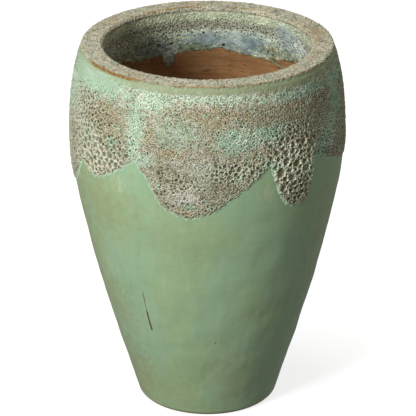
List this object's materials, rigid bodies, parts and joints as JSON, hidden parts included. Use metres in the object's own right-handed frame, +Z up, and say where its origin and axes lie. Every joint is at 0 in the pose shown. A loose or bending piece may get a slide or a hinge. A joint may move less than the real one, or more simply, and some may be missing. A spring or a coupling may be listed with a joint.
{
  "type": "garden planter jar",
  "caption": "Tall bullet-shaped glazed clay jar with a thick flat lip, a band of bubbled crater glaze that runs down in round drips, and a drain hole.",
  "frame": {"origin": "centre of the jar's foot, on the ground", "axes": "+Z up along the jar's axis, -Y is the front, +X is to the right seen from the front"},
  "size_m": [0.4236, 0.4237, 0.58],
  "materials": {
    "fired_clay": "bare fired terracotta, matt, with throwing rings",
    "green_glaze": "smooth satin sage green glaze, faintly streaked",
    "crater_glaze": "bubbled crater glaze, mint and grey-brown, satin",
    "rim_glaze": "gritty matt tan-grey glaze",
    "lip_glaze": "pitted green-grey glaze with blue pooling"
  },
  "bodies": {
    "root": {"foot_ring": "fired_clay", "base_slab": "fired_clay", "base_corner_coil": "fired_clay", "lower_wall": "fired_clay", "middle_wall": "fired_clay", "upper_wall": "fired_clay", "shoulder_wall": "fired_clay", "rim_ring": "fired_clay", "green_glaze": "green_glaze", "crater_glaze": "crater_glaze", "rim_glaze": "rim_glaze", "lip_glaze": "lip_glaze"}
  },
  "joints": []
}
